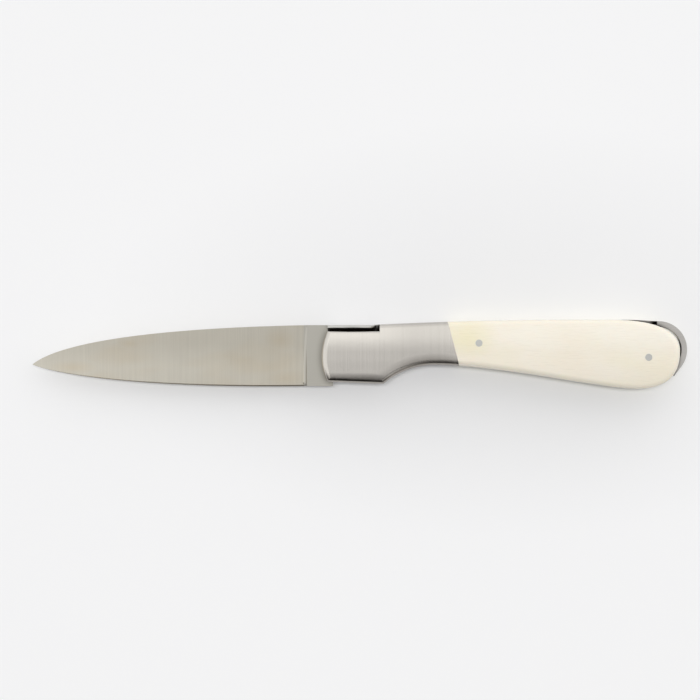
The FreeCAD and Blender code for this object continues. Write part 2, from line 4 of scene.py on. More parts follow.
import bmesh
import bpy
from bpy.props import FloatProperty, FloatVectorProperty, IntProperty, PointerProperty
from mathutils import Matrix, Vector

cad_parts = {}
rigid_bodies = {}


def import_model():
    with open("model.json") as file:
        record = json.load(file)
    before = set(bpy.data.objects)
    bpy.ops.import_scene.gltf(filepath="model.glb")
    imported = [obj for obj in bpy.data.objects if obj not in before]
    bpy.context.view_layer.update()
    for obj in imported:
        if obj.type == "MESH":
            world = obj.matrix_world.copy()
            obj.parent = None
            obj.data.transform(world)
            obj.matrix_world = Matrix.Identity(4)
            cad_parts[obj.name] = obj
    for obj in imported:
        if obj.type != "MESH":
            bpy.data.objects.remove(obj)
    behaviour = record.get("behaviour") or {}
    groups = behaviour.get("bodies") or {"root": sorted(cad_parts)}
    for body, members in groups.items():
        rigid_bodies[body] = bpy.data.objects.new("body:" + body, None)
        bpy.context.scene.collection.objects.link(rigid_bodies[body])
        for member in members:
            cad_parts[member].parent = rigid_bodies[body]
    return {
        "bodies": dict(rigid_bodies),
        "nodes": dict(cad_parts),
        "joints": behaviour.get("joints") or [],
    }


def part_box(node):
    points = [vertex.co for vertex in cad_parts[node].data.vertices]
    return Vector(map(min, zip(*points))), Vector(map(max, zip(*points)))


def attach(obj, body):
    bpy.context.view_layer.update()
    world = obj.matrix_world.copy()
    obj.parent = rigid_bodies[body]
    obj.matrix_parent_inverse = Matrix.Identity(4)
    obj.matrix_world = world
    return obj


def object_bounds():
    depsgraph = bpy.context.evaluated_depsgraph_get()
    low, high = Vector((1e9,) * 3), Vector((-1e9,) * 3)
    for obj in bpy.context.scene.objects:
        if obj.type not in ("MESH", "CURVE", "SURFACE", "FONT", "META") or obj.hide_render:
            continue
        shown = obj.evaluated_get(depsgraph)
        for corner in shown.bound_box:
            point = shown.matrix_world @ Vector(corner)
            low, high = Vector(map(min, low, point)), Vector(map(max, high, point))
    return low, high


bl_info = {
    "name": "Folding Pocket Knife",
    "version": (1, 0, 0),
    "blender": (4, 5, 0),
    "location": "3D View > Sidebar > Pocket Knife",
    "description": "Finishes, fine details and a studio for a folding pocket knife",
    "category": "Object",
}

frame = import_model()
NODES = frame["nodes"]
# Blender's own starting objects go, so that the box is the knife's alone
for stray in set(bpy.data.objects) - set(NODES.values()) - set(frame["bodies"].values()):
    bpy.data.objects.remove(stray)
CAD_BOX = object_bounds()

MM = 0.001
PIVOT = Vector(frame["joints"][0]["pos_m"])
BLADE_LOW, BLADE_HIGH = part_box("blade")
PLATE_LOW, PLATE_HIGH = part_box("head_plate")
SCALE_LOW, SCALE_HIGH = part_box("left_scale")
MIDDLE_Z = PIVOT.z

# Half the depth of a patch of colour that goes through the knife, and of one that is the same at any depth
DEEP = 30 * MM
ENDLESS = 10.0

# Sizes of the blade's scattered blooms along X, Y and Z
BLOOM_SIZES = (30 * MM, 12 * MM, 12 * MM)
# Its larger blooms, in mm: ahead of its plunge, above the pivot, half the length and half the height
BLADE_BLOOMS = ((7, -4.5, 9, 4.5), (9, 8, 6, 5), (59, 7, 5, 2.5), (78, -1, 9, 2.5))

# How far a surface is turned to the knife's back, from -1 to 1, where a painted shade starts and where it is
# full
BEVEL_SHADE_TURN = (-0.1, -0.2)
DOWNWARD_TURN = (-0.15, -0.35)
# The same to either side of the knife, from 0 to 1
SIDE_TURN = (0.5, 0.75)
STEEP_SHADE_TURN = (0.75, 0.5)
ROUNDING_TOP_TURN = (0.96, 0.86)
ROUNDING_FOOT_TURN = (0.66, 0.74)

# The sprig: its stem and its bow as shares of the plate's size, then its leaves
STEM_SHARE = 0.31
BOW_SHARE = 0.06
FIRST_LEAF = 0.55
LAST_LEAF_ROOM = 0.4
LEAF_TAPER = 0.12
LEAF_LEAN = math.radians(48)
END_LEAF_LENGTH = 0.7
END_LEAF_WIDTH = 0.8

# Heights in the light tent, from 0 at the table to 1 straight up: the end of its foot, then its opening
FOOT_END = 0.35
OPENING_START = 0.974
OPENING_END = 0.9982


def colour(label, words, default):
    """A colour setting."""
    return FloatVectorProperty(
        name=label, description=words, subtype="COLOR", size=3, min=0, max=1, default=default
    )


def length(label, words, default):
    """A setting in metres."""
    return FloatProperty(
        name=label, description=words, subtype="DISTANCE", unit="LENGTH", precision=6, default=default
    )


def place(label, words, default):
    """A setting of three lengths along X, Y and Z in metres."""
    return FloatVectorProperty(
        name=label, description=words, subtype="XYZ", unit="LENGTH", size=3, precision=6, default=default
    )


def angle(label, words, degrees):
    """An angle setting."""
    return FloatProperty(name=label, description=words, subtype="ANGLE", default=math.radians(degrees))


def strength(label, words, default, unit="NONE"):
    """A setting for an amount or for the strength of a light."""
    return FloatProperty(name=label, description=words, unit=unit, min=0, default=default)


class KnifeSteelSettings(bpy.types.PropertyGroup):
    """Colours and finish of the metal pieces."""

    blade: colour("Blade", "Colour of the ground blade", (0.598, 0.567, 0.490))
    blade_warm: colour("Blade bloom", "Tint of the blade's warmer patches", (0.98, 0.93, 0.86))
    blade_back: colour("Blade back", "Tint of the blade along its back", (0.88, 0.875, 0.87))
    # Painted shade on the edge bevel, which faces down and away from the light
    blade_bevel_shade: colour("Edge bevel", "Tint of the bevel at the cutting edge", (0.42, 0.40, 0.38))
    blade_nook: colour("Blade nook", "Tint of the blade close beside the bolsters", (0.7, 0.69, 0.68))
    ricasso: colour("Ricasso", "Colour of the unground heel of the blade", (0.462, 0.445, 0.398))
    bolster: colour("Bolsters", "Colour of the brushed bolsters", (0.635, 0.605, 0.558))
    bolster_rear: colour("Bolster rear", "Tint of the bolsters beside the scales", (0.87, 0.87, 0.87))
    # Painted shade on the bolsters' steep undersides, which face down towards the shadowed table
    bolster_under_shade: colour("Underside", "Tint of the bolsters' steep undersides", (0.6, 0.59, 0.58))
    # Painted shade in the dark lines on the rounded lower edges, below the pivot and at the waist
    sole_edge_shade: colour("Sole edge", "Tint of the rounded edge below the pivot", (0.22, 0.21, 0.2))
    # Painted shade just above the rounded lower edges, below the pivot and at the waist
    sole_brow_shade: colour("Sole brow", "Tint just above that edge", (0.42, 0.41, 0.4))
    waist_edge_shade: colour("Waist edge", "Tint of the rounded edge at the waist", (0.6, 0.58, 0.57))
    waist_brow_shade: colour("Waist brow", "Tint just above the waist's edge", (0.5, 0.49, 0.48))
    spring: colour("Back spring", "Colour of the back spring and its crescent", (0.45, 0.434, 0.41))
    plate: colour("Head plate", "Colour of the oval head plate", (0.56, 0.555, 0.53))
    liner: colour("Liners", "Colour of the liners' edges", (0.45, 0.44, 0.42))
    pin: colour("Pins", "Colour of the flush pins", (0.50, 0.50, 0.48))
    # Painted shade, nearly black, deep in the recesses of the spring and liners; the engraved strokes take
    # the same dark
    recess_shade_and_engraving: colour("Recesses", "Colour of the unpolished steel deep in the recesses", (0.012, 0.009, 0.007))
    bronze: colour("Bronze", "Colour of the washers", (0.42, 0.25, 0.10))
    bronze_rubbed: colour("Rubbed bronze", "Colour of the washers where they are rubbed", (0.60, 0.40, 0.20))
    line_width: length("Grinding line", "Width of the finest grinding lines", 0.16 * MM)
    line_length: length("Grinding stroke", "Length of a grinding line", 26 * MM)
    line_depth: length("Grinding depth", "Depth of the grinding lines", 0.006 * MM)
    plate_grain: length("Plate grain", "Size of the head plate's fine grain", 0.3 * MM)
    rear_satin: strength("Rear satin", "How much softer the bolsters shine beside the scales", 0.06)


class KnifeBoneSettings(bpy.types.PropertyGroup):
    """Colours and grain of the bone scales."""

    ivory: colour("Ivory", "Main colour of the bone", (0.880, 0.812, 0.685))
    cream: colour("Cream", "Paler parts of the bone", (0.900, 0.850, 0.745))
    honey: colour("Honey", "Yellower parts of the bone", (0.840, 0.785, 0.530))
    grain: colour("Grain", "Colour of the fine grain", (0.700, 0.590, 0.420))
    mottle_size: length("Mottling", "Size of the soft patches", 13 * MM)
    grain_width: length("Grain width", "Width of a streak of grain", 0.22 * MM)
    grain_length: length("Grain length", "Length of a streak of grain", 5 * MM)
    stain_x: length("Stain X", "Middle of the yellow stain, behind the scale's front end", 6.5 * MM)
    stain_y: length("Stain Y", "Middle of the yellow stain, below the scale's back", 6 * MM)
    stain_length: length("Stain length", "Half the length of the yellow stain", 11 * MM)
    stain_height: length("Stain height", "Half the height of the yellow stain", 7.5 * MM)
    stain: strength("Stain", "How yellow the stain is", 0.9)
    right_side: strength("Right side", "How much yellower the right scale is", 0.55)


class KnifeDetailSettings(bpy.types.PropertyGroup):
    """Sizes and places of the fine details, and of the shades in the finishes."""

    plunge_reach: length("Plunge", "From the pivot to the end of the blade's grind", 13.2 * MM)
    cove_radius: length("Cove radius", "Radius of the hollow where the grind ends", 1.35 * MM)
    edge_depth: length("Edge depth", "From the pivot down to the cutting edge", 7.17 * MM)
    edge_half: length("Edge shoulder", "Half the blade's thickness above the edge bevel", 0.15 * MM)
    # Between these heights the blade's colour gets darker towards its back
    back_start: length("Back start", "Height from the pivot where the blade starts to dull", -1 * MM)
    back_end: length("Back end", "Height from the pivot where the blade is dullest", 7 * MM)
    ricasso_start: length("Ricasso start", "Ahead of the plunge, where the ricasso's colour starts", 1.2 * MM)
    ricasso_end: length("Ricasso end", "Ahead of the plunge, where the ricasso's colour is full", 0.7 * MM)
    nook_reach: length("Nook", "How near the bolsters the blade is shaded", 2.5 * MM)
    # Painted shade deep in the recesses reaches this near to other steel
    recess_reach: length("Recess", "How near other steel a recess is soiled", 2.2 * MM)
    rear_start: length("Rear start", "Behind the pivot, where the bolsters start to dull", 8 * MM)
    rear_end: length("Rear end", "Behind the pivot, where the bolsters are dullest", 22 * MM)
    sole_start: length("Sole start", "Depth below the pivot where the sole starts to darken", 2.7 * MM)
    sole_end: length("Sole end", "Depth below the pivot where the sole is darkest", 4.7 * MM)
    waist_reach: length("Waist", "From the pivot to the waist, where the handle is slimmest", 29.3 * MM)
    waist_radius: length("Waist radius", "Radius of the hollow ahead of the waist", 26.1 * MM)
    brow_top: length("Brow", "Height above the waist where the bolsters start to darken", 3.9 * MM)
    brow_foot: length("Brow foot", "Height above the waist where they are darkest", 1.2 * MM)
    stroke_width: length("Stroke", "Width of an engraved stroke", 0.34 * MM)
    stroke_proud: length("Stroke height", "Height of a stroke above the plate", 0.01 * MM)
    stroke_depth: length("Stroke depth", "Thickness of a stroke", 0.12 * MM)
    leaf_length: length("Leaf length", "Length of the sprig's largest leaf", 4.1 * MM)
    leaf_width: length("Leaf width", "Width of the sprig's largest leaf", 1.6 * MM)
    leaf_pairs: IntProperty(name="Leaf pairs", description="Pairs of leaves on the sprig", min=1, default=3)


class KnifeStageSettings(bpy.types.PropertyGroup):
    """The table, the shade card, the light and the camera."""

    floor: colour("Floor", "Colour of the table", (0.95, 0.95, 0.955))
    # Painted shade on the table round the handle; the table's speckles take this colour too
    floor_shade_and_speckle: colour("Near floor", "Colour of the table round the knife's handle", (0.85, 0.85, 0.855))
    table_size: length("Table", "Width and depth of the table", 6.0)
    near_shade_place: place("Near floor place", "Middle of the near floor, from the pivot", (0.055, 0.012, 0))
    near_shade_size: place("Near floor size", "Half the size of the near floor", (0.14, 0.07, 1.0))
    card: colour("Card", "Colour of the shade card", (0.015, 0.015, 0.015))
    card_weave: colour("Card weave", "Paler threads of the shade card", (0.03, 0.03, 0.03))
    card_width: length("Card width", "Width of the shade card", 0.3)
    card_depth: length("Card depth", "Depth of the shade card", 0.98)
    card_place: place("Card place", "Middle of the shade card", (0.012, -0.6, 0.43))
    card_turn: angle("Card turn", "Slope of the shade card", 34)
    card_fade_start: length("Card fade start", "Where the card starts to fade, from its middle", -0.3)
    card_fade_end: length("Card fade end", "Where the card is at its palest, from its middle", 0.45)
    card_fade: strength("Card fade", "How far the card fades to the table's colour", 0.5)
    tent_wall: colour("Tent walls", "Light of the tent's walls", (1.0, 1.0, 1.0))
    tent_foot: colour("Tent foot", "Light of the tent near the table", (0.93, 0.93, 0.94))
    tent_top: colour("Tent top", "Light round the opening for the camera", (0.66, 0.66, 0.665))
    tent_turn: angle("Tent turn", "Lean of the tent's top towards the front", -5)
    glow_turn: angle("Glow turn", "Turn of the light from behind towards the butt", 25)
    glow: colour("Glow", "Colour of the soft light on dull surfaces", (1.0, 1.0, 1.0))
    tent_light: strength("Tent light", "Strength of the tent's light", 1.08)
    back_light: strength("Back light", "Strength of the soft light from behind the knife", 1.3)
    fill_light: strength("Fill light", "Strength of the soft light from all round", 0.22)
    top_power: strength("Top lamp", "Power of the soft lamp above the knife", 44, "POWER")
    top_place: place("Top lamp place", "Above the knife and a little behind it", (0, 0.12, 3.0))
    top_width: length("Top lamp width", "Width of the soft lamp above the knife", 1.25)
    top_depth: length("Top lamp depth", "Depth of the soft lamp above the knife", 0.4)
    back_power: strength("Back lamp", "Power of the soft lamp behind the knife", 0.5, "POWER")
    back_place: place("Back lamp place", "Behind the knife and above it", (0, 0.5, 1.0))
    back_width: length("Back lamp width", "Width of the soft lamp behind the knife", 1.2)
    back_depth: length("Back lamp depth", "Depth of the soft lamp behind the knife", 0.6)
    lens: length("Lens", "Focal length of the camera", 100 * MM)
    sensor: length("Sensor", "Width of the camera's sensor", 36 * MM)
    picture_width: length("Picture width", "Width that the picture spans at the blade", 233.3 * MM)
    picture_x: length("Picture X", "Middle of the picture, from the pivot towards the butt", 1.17 * MM)
    picture_y: length("Picture Y", "Middle of the picture, from the pivot towards the back", 4.83 * MM)


class Shading:
    """A node tree, with short calls for the nodes that build it."""

    def __init__(self, tree):
        self.tree = tree

    def node(self, kind, inputs=None, **settings):
        """A new node with its settings made and its sockets fed."""
        made = self.tree.nodes.new(kind)
        for name, value in settings.items():
            setattr(made, name, value)
        for name, value in (inputs or {}).items():
            self.feed(made.inputs[name], value)
        return made

    def feed(self, socket, value):
        """Links a socket to another one, or gives it a value."""
        if isinstance(value, bpy.types.NodeSocket):
            self.tree.links.new(value, socket)
        elif socket.type == "RGBA" and len(value) == 3:
            socket.default_value = (*value, 1)
        else:
            socket.default_value = value

    def remap(self, value, start, end, low=0.0, high=1.0):
        """Goes from low to high as the value goes from start to end."""
        names = ("From Min", "From Max", "To Min", "To Max")
        inputs = {"Value": value, **dict(zip(names, (start, end, low, high)))}
        return self.node("ShaderNodeMapRange", inputs).outputs["Result"]

    def maths(self, operation, first, second=0.0):
        """One step of maths on two values."""
        return self.node("ShaderNodeMath", {0: first, 1: second}, operation=operation).outputs[0]

    def product(self, first, *others):
        """All the values multiplied."""
        for other in others:
            first = self.maths("MULTIPLY", first, other)
        return first

    def part(self, vector, name):
        """A vector's length along one axis."""
        return self.node("ShaderNodeSeparateXYZ", {0: vector}).outputs[name]

    def mix(self, amount, first, second):
        """A colour between two others."""
        inputs = {0: amount, 6: first, 7: second}
        return self.node("ShaderNodeMix", inputs, data_type="RGBA").outputs[2]

    def tint(self, amount, tone, by):
        """A tone that is multiplied by a colour where the amount is 1."""
        inputs = {0: amount, 6: tone, 7: by}
        return self.node("ShaderNodeMix", inputs, data_type="RGBA", blend_type="MULTIPLY").outputs[2]

    def lerp(self, amount, first, second):
        """A value between two others."""
        return self.node("ShaderNodeMix", {0: amount, 2: first, 3: second}).outputs[0]


# Names of sockets that aren't plain words in title case
SOCKETS = {"specular_ior_level": "Specular IOR Level"}


class Finish(Shading):
    """A new material that is laid out on Object coordinates."""

    def __init__(self, name):
        self.material = bpy.data.materials.new(name)
        self.material.use_nodes = True
        super().__init__(self.material.node_tree)
        self.shader = self.tree.nodes["Principled BSDF"]
        places = self.node("ShaderNodeTexCoord").outputs
        self.place = places["Object"]
        self.heading = places["Normal"]

    def spread(self, sizes, shift=(0, 0, 0)):
        """Object coordinates measured in the given sizes along X, Y and Z."""
        scale = [1 / size for size in sizes]
        inputs = {"Vector": self.place, "Scale": scale, "Location": shift}
        return self.node("ShaderNodeMapping", inputs).outputs["Vector"]

    def noise(self, sizes, detail=2.0, shift=(0, 0, 0)):
        """Soft noise with patches of the given sizes along X, Y and Z."""
        inputs = {"Vector": self.spread(sizes, shift), "Scale": 1.0, "Detail": detail}
        return self.node("ShaderNodeTexNoise", inputs).outputs["Fac"]

    def ball(self, centre, radii):
        """1 at a centre, falling to 0 at the given radii."""
        shift = [-spot / radius for spot, radius in zip(centre, radii)]
        inputs = {"Vector": self.spread(radii, shift)}
        return self.node("ShaderNodeTexGradient", inputs, gradient_type="SPHERICAL").outputs["Fac"]

    def axis(self, name):
        """The distance from the origin along one axis."""
        return self.part(self.place, name)

    def facing_back(self, start, end):
        """0 to 1 as the surface's turn to the knife's back, -1 to 1, goes from start to end."""
        return self.remap(self.part(self.heading, "Y"), start, end)

    def facing_side(self, start, end):
        """0 to 1 as the surface's turn to either side of the knife, 0 to 1, goes from start to end."""
        return self.remap(self.maths("ABSOLUTE", self.part(self.heading, "Z")), start, end)

    def occlusion(self, reach):
        """1 in the open, less where other surfaces are nearer than the reach."""
        inputs = {"Distance": reach}
        return self.node("ShaderNodeAmbientOcclusion", inputs, samples=12).outputs["AO"]

    def bump(self, height, distance, force):
        """A bumped normal."""
        inputs = {"Height": height, "Distance": distance, "Strength": force}
        return self.node("ShaderNodeBump", inputs).outputs["Normal"]

    def set(self, **inputs):
        """Feeds the shader's sockets by name, and gives the finished material."""
        for name, value in inputs.items():
            socket = SOCKETS.get(name, name.replace("_", " ").title())
            self.feed(self.shader.inputs[socket], value)
        return self.material


def scaled(tint, by):
    """A colour with each of its parts multiplied."""
    return [part * by for part in tint]


def even(size):
    """The same size along X, Y and Z."""
    return (size, size, size)


def ground_steel(name, tint, stroke, roughness, contrast=0.1, recess_shade=None, dress_tone=None, satin=None):
    """Steel with fine grinding lines; stroke gives the sizes of a line along X, Y and Z.

    The colour given for the recesses is painted shade deep in them, where they also get rougher; dress_tone
    changes the tone before the gloss is made, and satin adds to the gloss's roughness.
    """
    broad_times, broad_share = 6, 0.25
    cloud_size, cloud_share = 9 * MM, 0.2
    smoother, rougher, recess_rougher = 0.03, 0.04, 0.4
    finish = Finish(name)
    fine = finish.noise(stroke, detail=3.0)
    broad = finish.noise([broad_times * size for size in stroke], shift=(3, 5, 7))
    lines = finish.lerp(broad_share, fine, broad)
    shade = finish.lerp(cloud_share, lines, finish.noise(even(cloud_size)))
    amount = finish.remap(shade, 0.3, 0.7)
    tone = finish.mix(amount, scaled(tint, 1 - contrast), scaled(tint, 1 + contrast))
    if dress_tone:
        tone = dress_tone(finish, tone)
    normal = finish.bump(lines, bpy.context.scene.knife_steel.line_depth, 0.35)
    gloss = finish.remap(lines, 0.25, 0.75, roughness - smoother, roughness + rougher)
    # Painted shade deep in the recesses, where other steel is near; the recesses also get rougher
    if recess_shade:
        open_sky = finish.occlusion(bpy.context.scene.knife_detail.recess_reach)
        openness = finish.remap(open_sky, 0.55, 0.88)
        tone = finish.mix(openness, recess_shade, tone)
        gloss = finish.maths("ADD", gloss, finish.remap(openness, 0.0, 1.0, recess_rougher, 0.0))
    if satin:
        gloss = finish.maths("ADD", gloss, satin(finish))
    return finish.set(base_color=tone, metallic=1.0, roughness=gloss, normal=normal)


def dress(material, *names):
    """Gives a finish to pieces that come from CAD as they are."""
    for name in names:
        for slot in NODES[name].material_slots:
            slot.material = material


def across(settings):
    """Sizes of a grinding line that runs from the back to the edge."""
    return (settings.line_width, settings.line_length, settings.line_length)


def along(settings):
    """Sizes of a grinding line that runs from the point to the butt."""
    return (settings.line_length, settings.line_width, settings.line_width)


def object_of(name, bm, material):
    """Puts an object with a finished bmesh and its material into the scene."""
    mesh = bpy.data.meshes.new(name)
    bm.to_mesh(mesh)
    bm.free()
    mesh.materials.append(material)
    made = bpy.data.objects.new(name, mesh)
    bpy.context.scene.collection.objects.link(made)
    return made


def new_piece(name, bm, material, body):
    """Makes a piece of a finished bmesh, and lets it ride on a body."""
    bmesh.ops.recalc_face_normals(bm, faces=bm.faces)
    piece = object_of(name, bm, material)
    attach(piece, body)


def thicken(bm, shift):
    """Makes a solid of a skin, by a second skin that is moved by the shift."""
    grown = bmesh.ops.extrude_face_region(bm, geom=bm.faces[:], use_keep_orig=True)["geom"]
    moved = [item for item in grown if isinstance(item, bmesh.types.BMVert)]
    bmesh.ops.translate(bm, verts=moved, vec=shift)


def plunge_cove(detail, side):
    """The hollow that the grinding belt leaves where the blade meets its ricasso, on one side."""
    rows, columns = 28, 12
    sink = 0.07 * MM
    top_inset, foot_inset = 0.5 * MM, 0.6 * MM
    half = (BLADE_HIGH.z - BLADE_LOW.z) / 2
    spine = BLADE_HIGH.y
    edge = PIVOT.y - detail.edge_depth
    top = spine - top_inset
    foot = edge + foot_inset
    plunge = PIVOT.x - detail.plunge_reach
    bm = bmesh.new()
    bmesh.ops.create_grid(bm, x_segments=columns, y_segments=rows, size=0.5)
    for vert in bm.verts:
        turn, rise = vert.co.x + 0.5, vert.co.y + 0.5
        y = foot + rise * (top - foot)
        flat = detail.edge_half + (y - edge) / (spine - edge) * (half - detail.edge_half)
        sweep = math.acos(1 - (half - flat) / detail.cove_radius)
        x = plunge + detail.cove_radius * (math.sin(turn * sweep) - math.sin(sweep))
        z = flat + detail.cove_radius * (1 - math.cos(turn * sweep))
        vert.co = (x, y, MIDDLE_Z + side * z)
    for face in bm.faces:
        face.smooth = True
    thicken(bm, (sink, 0, -side * sink))
    return bm


def blade_tone(finish, tone):
    """The blade's warm blooms, its darker back, painted shade on its edge bevel, its dark ricasso, and the
    shade beside the bolsters.
    """
    steel = bpy.context.scene.knife_steel
    detail = bpy.context.scene.knife_detail
    plunge = PIVOT.x - detail.plunge_reach
    bloom = finish.remap(finish.noise(BLOOM_SIZES, shift=(1, 8, 4)), 0.45, 0.7)
    for ahead, above, half_length, half_height in BLADE_BLOOMS:
        centre = (plunge - ahead * MM, PIVOT.y + above * MM, MIDDLE_Z)
        spot = finish.ball(centre, (half_length * MM, half_height * MM, DEEP))
        bloom = finish.maths("MAXIMUM", bloom, spot)
    tone = finish.tint(bloom, tone, steel.blade_warm)
    # Darker towards the blade's back
    back = finish.remap(finish.axis("Y"), PIVOT.y + detail.back_start, PIVOT.y + detail.back_end)
    tone = finish.tint(back, tone, steel.blade_back)
    # Painted shade on the edge bevel, where the surface faces down and to the side
    bevel = finish.product(finish.facing_back(*BEVEL_SHADE_TURN), finish.facing_side(*SIDE_TURN))
    tone = finish.tint(bevel, tone, steel.blade_bevel_shade)
    heel = finish.remap(finish.axis("X"), plunge - detail.ricasso_start, plunge - detail.ricasso_end)
    tone = finish.mix(heel, tone, steel.ricasso)
    nook = finish.remap(finish.occlusion(detail.nook_reach), 0.95, 0.5)
    return finish.tint(nook, tone, steel.blade_nook)


def rearward(finish, high=1.0):
    """Goes from 0 at the front of the bolsters to a high value beside the scales."""
    detail = bpy.context.scene.knife_detail
    start, end = PIVOT.x + detail.rear_start, PIVOT.x + detail.rear_end
    return finish.remap(finish.axis("X"), start, end, 0.0, high)


def brow_over_waist(finish):
    """Goes from 0 to 1 where the bolsters come down to the hollow of the waist, where painted shade is laid.
    """
    detail = bpy.context.scene.knife_detail
    top = detail.waist_radius + detail.brow_top
    centre = PIVOT + Vector((detail.waist_reach, -detail.waist_radius, 0))
    nearness = finish.ball(centre, (top, top, ENDLESS))
    return finish.remap(nearness, 0.0, (detail.brow_top - detail.brow_foot) / top)


def brow_over_sole(finish):
    """Goes from 0 to 1 where the bolsters come down to their lower edge below the pivot, where painted shade
    is laid.
    """
    detail = bpy.context.scene.knife_detail
    return finish.remap(finish.axis("Y"), PIVOT.y - detail.sole_start, PIVOT.y - detail.sole_end)


def bolster_tone(finish, tone):
    """The bolsters' duller rear, and painted shade on their steep undersides, in dark lines on their rounded
    lower edges and just above those edges.
    """
    steel = bpy.context.scene.knife_steel
    rear = rearward(finish)
    tone = finish.tint(rear, tone, steel.bolster_rear)
    downward = finish.facing_back(*DOWNWARD_TURN)
    # Painted shade on the steep undersides that face down
    under_shade = finish.product(finish.facing_side(*STEEP_SHADE_TURN), downward)
    tone = finish.tint(under_shade, tone, steel.bolster_under_shade)
    # Painted shade in a dark line along the rounded lower edges
    turned = finish.facing_side(*ROUNDING_TOP_TURN)
    rounding_shade = finish.product(turned, finish.facing_side(*ROUNDING_FOOT_TURN), downward)
    tone = finish.tint(rounding_shade, tone, finish.mix(rear, steel.sole_edge_shade, steel.waist_edge_shade))
    # Painted shade where the bolsters turn down towards their lower edges
    side = finish.facing_side(*SIDE_TURN)
    waist = finish.product(brow_over_waist(finish), rear, side)
    tone = finish.tint(waist, tone, steel.waist_brow_shade)
    sole = finish.product(finish.maths("SUBTRACT", brow_over_sole(finish), rear), side)
    return finish.tint(sole, tone, steel.sole_brow_shade)


def bolster_satin(finish):
    """The bolsters' shine, which gets softer towards the scales."""
    return rearward(finish, bpy.context.scene.knife_steel.rear_satin)


class KNIFE_OT_blade(bpy.types.Operator):
    """Finish the ground blade and model the cove at the end of its grind"""

    bl_idname = "pocket_knife.blade"
    bl_label = "Blade"

    def execute(self, context):
        steel = context.scene.knife_steel
        finish = ground_steel(
            "ground_blade_steel",
            steel.blade,
            across(steel),
            roughness=0.3,
            contrast=0.08,
            dress_tone=blade_tone,
        )
        dress(finish, "blade")
        for name, side in (("left_plunge_cove", 1), ("right_plunge_cove", -1)):
            cove = plunge_cove(context.scene.knife_detail, side)
            new_piece(name, cove, finish, "blade")
        return {"FINISHED"}


class KNIFE_OT_bolsters(bpy.types.Operator):
    """Finish the brushed bolsters and the pivot pin that is ground flush with them"""

    bl_idname = "pocket_knife.bolsters"
    bl_label = "Bolsters"

    def execute(self, context):
        steel = context.scene.knife_steel
        finish = ground_steel(
            "brushed_bolster_steel",
            steel.bolster,
            across(steel),
            roughness=0.18,
            contrast=0.045,
            dress_tone=bolster_tone,
            satin=bolster_satin,
        )
        dress(finish, "left_bolster", "right_bolster", "pivot_pin")
        return {"FINISHED"}


def bone_tone(finish, bone, grain):
    """The bone's soft patches, its yellow stain and its streaks of grain."""
    size = bone.mottle_size
    patches = finish.noise((2 * size, size, size), detail=3.0)
    tone = finish.mix(finish.remap(patches, 0.35, 0.65), bone.ivory, bone.cream)
    warmth = finish.noise((3 * size, 1.4 * size, size), shift=(4, 2, 9))
    right = finish.remap(finish.axis("Z"), MIDDLE_Z, MIDDLE_Z - 1 * MM, 0.0, bone.right_side)
    honey = finish.maths("ADD", finish.remap(warmth, 0.5, 0.75, 0.0, 0.3), right)
    centre = (SCALE_LOW.x + bone.stain_x, SCALE_HIGH.y - bone.stain_y, MIDDLE_Z)
    stain = finish.ball(centre, (bone.stain_length, bone.stain_height, DEEP))
    honey = finish.maths("ADD", honey, finish.product(stain, bone.stain))
    tone = finish.mix(honey, tone, bone.honey)
    return finish.mix(finish.remap(grain, 0.56, 0.8, 0.0, 0.22), tone, bone.grain)


class KNIFE_OT_scales(bpy.types.Operator):
    """Finish the bone scales with soft patches and fine grain"""

    bl_idname = "pocket_knife.scales"
    bl_label = "Bone scales"

    def execute(self, context):
        bone = context.scene.knife_bone
        finish = Finish("polished_bone")
        grain = finish.noise((bone.grain_length, bone.grain_width, bone.grain_width), detail=4.0)
        material = finish.set(
            base_color=bone_tone(finish, bone, grain),
            roughness=finish.remap(grain, 0.3, 0.7, 0.24, 0.36),
            normal=finish.bump(grain, 0.008 * MM, 0.3),
            subsurface_weight=0.12,
            subsurface_radius=(1.6 * MM, 1.1 * MM, 0.7 * MM),
            subsurface_scale=1.0,
            coat_weight=0.25,
            coat_roughness=0.18,
        )
        dress(material, "left_scale", "right_scale")
        return {"FINISHED"}


class KNIFE_OT_pins(bpy.types.Operator):
    """Finish the flush pins and the hidden rivets"""

    bl_idname = "pocket_knife.pins"
    bl_label = "Pins and rivets"

    def execute(self, context):
        steel = context.scene.knife_steel
        finish = ground_steel("pin_steel", steel.pin, along(steel), roughness=0.34, contrast=0.06)
        dress(finish, "middle_pin", "rear_pin", "left_bolster_rivets", "right_bolster_rivets")
        return {"FINISHED"}


class KNIFE_OT_spring(bpy.types.Operator):
    """Finish the pierced back spring and the liners beside it, with painted shade in their recesses"""

    bl_idname = "pocket_knife.spring"
    bl_label = "Back spring and liners"

    def execute(self, context):
        steel = context.scene.knife_steel
        spring = ground_steel("spring_steel", steel.spring, along(steel), roughness=0.3, recess_shade=steel.recess_shade_and_engraving)
        dress(spring, "back_spring")
        liner = ground_steel("liner_steel", steel.liner, along(steel), roughness=0.36, recess_shade=steel.recess_shade_and_engraving)
        dress(liner, "left_liner", "right_liner")
        return {"FINISHED"}


def grown_from(vert, edge):
    """The end of an extruded edge that grew from a vertex."""
    return next(link.other_vert(vert) for link in vert.link_edges if link.other_vert(vert) in edge.verts)


